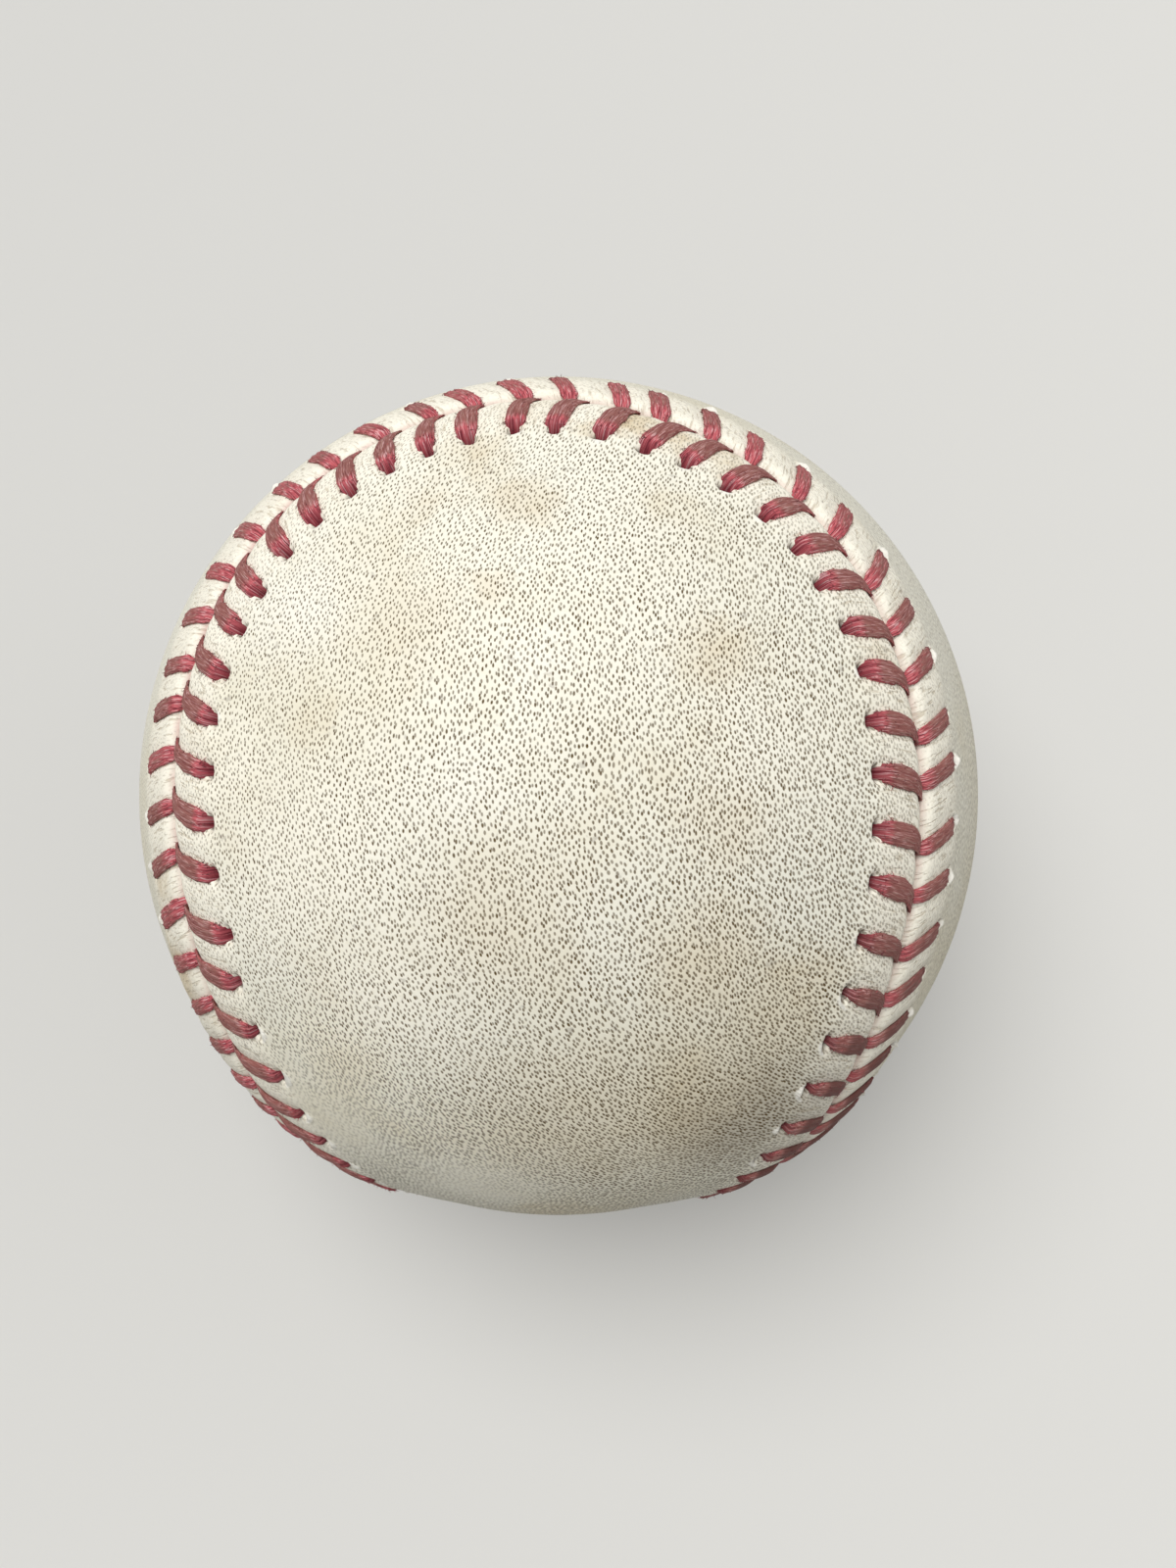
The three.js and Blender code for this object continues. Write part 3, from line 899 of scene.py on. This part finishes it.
def strongest(ragged, marks):  # the strongest of the marks at each place
    look = leatherLook
    total = 0.0
    for *direction, radius, strength in marks:
        middle = ball["radius"] * np.array(direction) + look["markDrift"] / 2  # the drift's own mean
        off = vectorMath("DISTANCE", ragged, middle, out="Value")
        mark = (1 - eased(off, 0.0, look["markFade"] * radius / 1000)) * strength
        total = ragged.math("MAXIMUM", mark, total)
    return total


def leatherMaterial(name, side):
    look = leatherLook
    material, start = newMaterial(name)
    where = objectPlace(start)
    toward = vectorMath("NORMALIZE", where)
    distance = attribute(start, "seamDistance")
    place = attribute(start, "seamPlace", "Vector")
    pitDirtAndShade, dye, lip = [attribute(start, key) for key in ("holeDirtAndShade", "rubbedDye", "tornLip")]
    noise = {key: cloud(where, *form) for key, form in look["noise"].items()}
    patchy = noise["patchy"]
    ragged = vectorMath("MULTIPLY_ADD", noise["ragged"].beside(1), (look["markDrift"],) * 3, where)

    laced = 1 - eased(distance, *look["laced"])
    hidden = 1 - eased(distance, *look["hidden"])
    pore = panelPores(start, toward, side) * (1 - 0.45 * laced) * (1 - 0.7 * hidden)
    pore = pore * (0.80 + 0.40 * patchy) * (1 - strongest(ragged, smoothMarks))
    if side < 0:
        pore = pore * (0.5 + 0.5 * eased(distance, *look["faint"]))
    pulled = cloud(stretched(place, (0, 0, 0), look["wrinkles"]), 1.0, 2.0, 0.6)
    wrinkle = eased(pulled, 0.54, 0.68) * laced
    speck = eased(noise["fine"], 0.66, 0.76) + laced * eased(noise["speck"], 0.66, 0.74)
    crease = 1 - eased(distance, *look["creased"])

    colour = layered(look["cream"], look, (
        (eased(noise["broad"], 0.38, 0.68) * 0.8, "warm"),
        # clean leather near the seam, and painted light: the stretched leather and the rolled edge painted
        # brighter as if lit
        (start.math("MAXIMUM", hidden * 0.7, laced * 0.9), "cleanAndLit"),
        (eased(noise["blot"], 0.56, 0.78) * 0.35, "stain"),
        (strongest(ragged, paleMarks), "paleAndHighlight"),
        # rubbed clean, and painted light on the right flank
        (strongest(ragged, cleanAndLitMarks), "cleanAndLit"),
        (strongest(ragged, stains), "stain"),
        # painted shade at the low right
        (strongest(ragged, paintedShadeMarks), "grimeAndShade"),
        (eased(noise["mottle"], 0.50, 0.68) * 0.35, "warm"),
        (wrinkle * 0.55, "fold"),
        (pore * 0.95, "pore"),
        (speck * 0.30, "grimeAndShade"),
        # painted shade down in the seam valley
        (crease * (0.2 + 0.35 * patchy), "crease"),
        (dye * (0.3 + patchy), "rubbed"),
        # painted highlight on the torn lips, partly their own paler torn leather
        (eased(lip, 0.25, 0.8) * 0.8, "paleAndHighlight"),
        # the hole pits darkened: partly dirt, partly painted shade in the recess
        (eased(pitDirtAndShade, 0.1, 0.7) * 0.9, "grimeAndShade"),
    ))
    height = noise["grain"] * 0.25 - pore + 0.3 * patchy - 1.6 * wrinkle
    roughness = 0.50 + 0.16 * patchy + 0.2 * pore
    surface(start, colour, roughness, (height, 0.5, 0.00006), {"Specular IOR Level": 0.3})
    return material


threadLook = dict(
    crimson=srgb(200, 96, 103),
    maroon=srgb(149, 95, 88),
    worn=srgb(174, 136, 126),
    # paler fibres, and painted sheen
    light=srgb(240, 196, 196),
    deep=srgb(98, 22, 36),
    # the darkest tone, where the darkening table adds most
    darkened=srgb(71, 43, 39),
    streaks=(0.7, 5.5, 5.5),  # how closely they lie along a leg, and across it per mm
    fine=(1.1, 13.0, 13.0),
)


def threadMaterial():
    look = threadLook
    material, start = newMaterial("waxed_red_thread")
    fibre = attribute(start, "fibre", "Vector")
    keys = ("legShare", "legSoil", "legTone", "strand")
    share, soil, tone, strand = [attribute(start, key) for key in keys]
    streaks = cloud(stretched(fibre, (0, 0, 0), look["streaks"]), 1.0, 3.0, 0.6)
    fine = cloud(stretched(fibre, (0, 0, 0), look["fine"]), 1.0, 2.0, 0.5)
    crest = eased(start.node("SeparateXYZ", {}, {0: fibre}, 2), 0.0, 0.22)
    soiled = eased(soil * (0.4 + 0.4 * tone + 0.4 * crest) + 0.9 * streaks, 0.50, 1.25)
    # painted shade where a leg comes out of its hole and where it dives into the seam
    legEndShade = (1 - eased(share, 0.02, 0.18)) + eased(share, 0.92, 1.0) * 0.6
    colour = layered(look["crimson"], look, (
        (soiled, "maroon"),
        (eased(streaks, 0.52, 0.70) * soil * 0.6, "worn"),
        # painted shade in the grooves between the strands
        ((1 - eased(strand, -1.0, -0.1)) * (0.70 - 0.45 * soil), "deep"),
        # paler fibres, partly painted sheen on the waxed thread
        (eased(fine, 0.53, 0.68) * (0.80 - 0.36 * soil), "light"),
        ((1 - eased(fine, 0.34, 0.48)) * (0.85 - 0.42 * soil), "deep"),
        # darker where the darkening table adds, as about stitch 6
        (eased(soil, 1.30, 1.85) * 0.7, "darkened"),
        # painted shade at the leg's ends
        (legEndShade * 0.85, "deep"),
    ))
    relief = (streaks + 0.6 * fine, 0.9, 0.00014)
    surface(start, colour, 0.55 + 0.3 * streaks, relief, {"Specular IOR Level": 0.25})
    return material


def fuzzMaterial():
    look = threadLook
    material, start = newMaterial("loose_fibre")
    tone = attribute(start, "fibreTone")
    layers = ((tone, "maroon"), (eased(tone, 0.75, 1.0) * 0.7, "crimson"))
    surface(start, layered(look["deep"], look, layers), 0.6 + 0.2 * tone)
    return material


# Finishes of the pieces inside the ball

def corkMaterial():
    material, start = newMaterial("pressed_cork")
    where = objectPlace(start)
    crumbs = start.node("TexVoronoi", {}, {"Vector": where, "Scale": 700.0})
    tint = start.node("SeparateColor", {}, {0: crumbs.beside(1)})
    colour = mixed(tint, srgb(164, 114, 68), srgb(212, 168, 116))
    colour = mixed(eased(cloud(where, 900.0, 3.0), 0.58, 0.7), colour, srgb(92, 58, 34))
    surface(start, colour, 0.82 + 0.1 * tint, (crumbs, 0.6, 0.0002))
    return material


def rubberMaterial(name, dark, pale):
    material, start = newMaterial(name)
    where = objectPlace(start)
    mottle = cloud(where, 260.0, 4.0)
    grit = cloud(where, 2200.0, 2.0)
    colour = mixed(eased(mottle, 0.35, 0.7), dark, pale)
    surface(start, colour, 0.55 + 0.25 * mottle, (grit, 0.4, 0.0001))
    return material


# Wound yarn: fine waves in three directions, one of which shows in each patch.
def woundMaterial(name, dark, pale, yarnsPerMetre):
    material, start = newMaterial(name)
    where = objectPlace(start)
    patch = start.node("TexVoronoi", {}, {"Vector": where, "Scale": 70.0})
    choice = start.node("SeparateColor", {}, {0: patch.beside(1)})
    waves = []
    for turn in ((0.3, 0.2, 0.0), (1.2, 0.4, 0.9), (0.5, 1.4, 2.0)):
        wave = {"Vector": stretched(where, turn, (1, 1, 1)), "Scale": yarnsPerMetre, "Distortion": 1.5}
        waves.append(start.node("TexWave", {}, wave, 1))
    second = eased(choice, 0.32, 0.36)
    third = eased(choice, 0.65, 0.69)
    yarn = waves[0] * (1 - second) + waves[1] * (second - third) + waves[2] * third
    colour = mixed(yarn * (0.7 + 0.5 * cloud(where, 600.0, 3.0)), dark, pale)
    surface(start, colour, 0.85 + 0.1 * choice, (yarn, 0.7, 0.0004))
    return material


def setFinish(material, *nodes):
    for node in nodes:
        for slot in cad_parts[node].material_slots:
            slot.material = material


# The ball

for name, side in sides.items():
    panel = coverPanel("leather_panel_" + name, side)
    panel.data.materials.append(leatherMaterial("white_leather_" + name, side))
    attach(panel, "root")
    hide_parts("cover_panel_" + name)

redThread = threadMaterial()
looseFibre = fuzzMaterial()
for name, firstSide in (("first", 1), ("second", -1)):
    thread, skin, middle, lengthways = stitchThread("lacing_" + name, firstSide)
    thread.data.materials.append(redThread)
    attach(thread, "root")
    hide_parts("stitch_thread_" + name)
    fuzz = threadFuzz("lacing_fuzz_" + name, skin, middle, lengthways, firstSide)
    fuzz.data.materials.append(looseFibre)
    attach(fuzz, "root")

setFinish(corkMaterial(), "cork_core")
blackRubber = rubberMaterial("black_rubber", srgb(22, 21, 21), srgb(48, 46, 45))
setFinish(blackRubber, "black_rubber_half_lower", "black_rubber_half_upper")
redRubber = rubberMaterial("red_rubber", srgb(138, 44, 38), srgb(176, 72, 62))
setFinish(redRubber, "rubber_gasket", "red_rubber_half_lower", "red_rubber_half_upper")
greyWool = woundMaterial("grey_wool", srgb(86, 84, 80), srgb(158, 154, 148), 180.0)
setFinish(greyWool, "first_wool_winding", "third_wool_winding")
whiteWool = woundMaterial("white_wool", srgb(168, 162, 148), srgb(236, 231, 218), 200.0)
setFinish(whiteWool, "second_wool_winding")
finishingYarn = woundMaterial("finishing_yarn", srgb(186, 180, 166), srgb(240, 236, 226), 420.0)
setFinish(finishingYarn, "finishing_yarn_winding")
print("ball made")


# Studio

shot = dict(
    frameWidth=1200,
    frameHeight=1600,
    focal=1195.7,  # in pixels of that frame
    ballAt=(573.4, 810.6),  # the ball's middle on the frame
    distance=0.10986,  # lens to the ball's middle
    azimuth=math.radians(5.374),
    elevation=math.radians(71.488),
    roll=math.radians(-4.888),
)
studio = dict(
    floor=srgb(204, 203, 199),
    floorBounce=srgb(84, 81, 70),  # the floor as the ball sees it
    floorSize=6.0,
    worldLevel=0.38,
    worldShown=0.76,  # as the camera sees it
    lampFrom=(-0.20, 0.11, 0.974),
    lampLevel=0.85,
    fillFrom=(0.90, 0.10, 0.42),  # a weak second lamp from the right
    fillLevel=0.11,
    lampDistance=0.9,
    lampSize=0.7,
)


def makeCamera():
    data = bpy.data.cameras.new("camera")
    data.sensor_width = 36.0
    data.lens = data.sensor_width * shot["focal"] / shot["frameHeight"]
    data.clip_start = 0.001
    camera = addObject("camera", data)
    tilt = Matrix.Rotation(math.pi / 2 - shot["elevation"], 4, "X")
    turn = Matrix.Rotation(shot["azimuth"], 4, "Z") @ tilt @ Matrix.Rotation(shot["roll"], 4, "Z")
    right = (shot["ballAt"][0] - shot["frameWidth"] / 2) / shot["focal"]
    down = (shot["ballAt"][1] - shot["frameHeight"] / 2) / shot["focal"]
    toBall = Vector((right, -down, -1)).normalized() * shot["distance"]
    camera.matrix_world = Matrix.Translation(-(turn.to_3x3() @ toBall)) @ turn
    bpy.context.scene.camera = camera


def directlySeen(start):  # 1 where the camera looks straight at a thing, or at its reflection
    path = start.node("LightPath", {}, {}, "Is Camera Ray")
    mirrored = path.beside("Is Glossy Ray") + path.beside("Is Transmission Ray")
    return start.math("MINIMUM", path + mirrored, 1.0)


def makeFloor(level):
    half = studio["floorSize"] / 2
    corners = [(-half, -half, level), (half, -half, level), (half, half, level), (-half, half, level)]
    mesh = bpy.data.meshes.new("floor")
    mesh.from_pydata(corners, [], [(0, 1, 2, 3)])
    floor = addObject("floor", mesh)
    material, start = newMaterial("pale_floor")
    seen = directlySeen(start)
    colour = mixed(seen, studio["floorBounce"], studio["floor"])
    # The lamp fades with the square of height squared over distance squared, so a glow makes up for it
    right, back, height = [studio["lampDistance"] * v for v in studio["lampFrom"]]
    away = vectorMath("DISTANCE", objectPlace(start), (right, back, 0.0), out="Value")
    lit = (height**2 / (height**2 + away**2)) ** 2
    glow = mixed(seen * (1 - lit) * studio["lampLevel"], (0, 0, 0, 1), studio["floor"])
    surface(start, colour, 0.9, None, {"Emission Color": glow, "Emission Strength": 1.0})
    floor.data.materials.append(material)


def makeLamp(name, toward, level):
    data = bpy.data.lights.new(name, "AREA")
    data.shape = "DISK"
    data.size = studio["lampSize"]
    data.energy = level * math.pi**2 * studio["lampDistance"] ** 2  # a level of 1 lights white to white
    lamp = addObject(name, data)
    way = Vector(toward).normalized()
    lamp.location = way * studio["lampDistance"]
    lamp.rotation_mode = "QUATERNION"
    lamp.rotation_quaternion = way.to_track_quat("Z", "Y")


def makeLights():
    world = bpy.data.worlds.new("studio")
    start = freshNodes(world)
    level = studio["worldLevel"] + directlySeen(start) * (studio["worldShown"] - studio["worldLevel"])
    light = start.node("Background", {}, {"Color": (1, 1, 1, 1), "Strength": level})
    start.node("OutputWorld", {}, {"Surface": light})
    bpy.context.scene.world = world
    makeLamp("softbox", studio["lampFrom"], studio["lampLevel"])
    makeLamp("fill", studio["fillFrom"], studio["fillLevel"])


makeCamera()
seenLow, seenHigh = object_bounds()
makeFloor(seenLow.z)
makeLights()
bpy.context.scene.view_settings.view_transform = "Standard"
print("studio made")
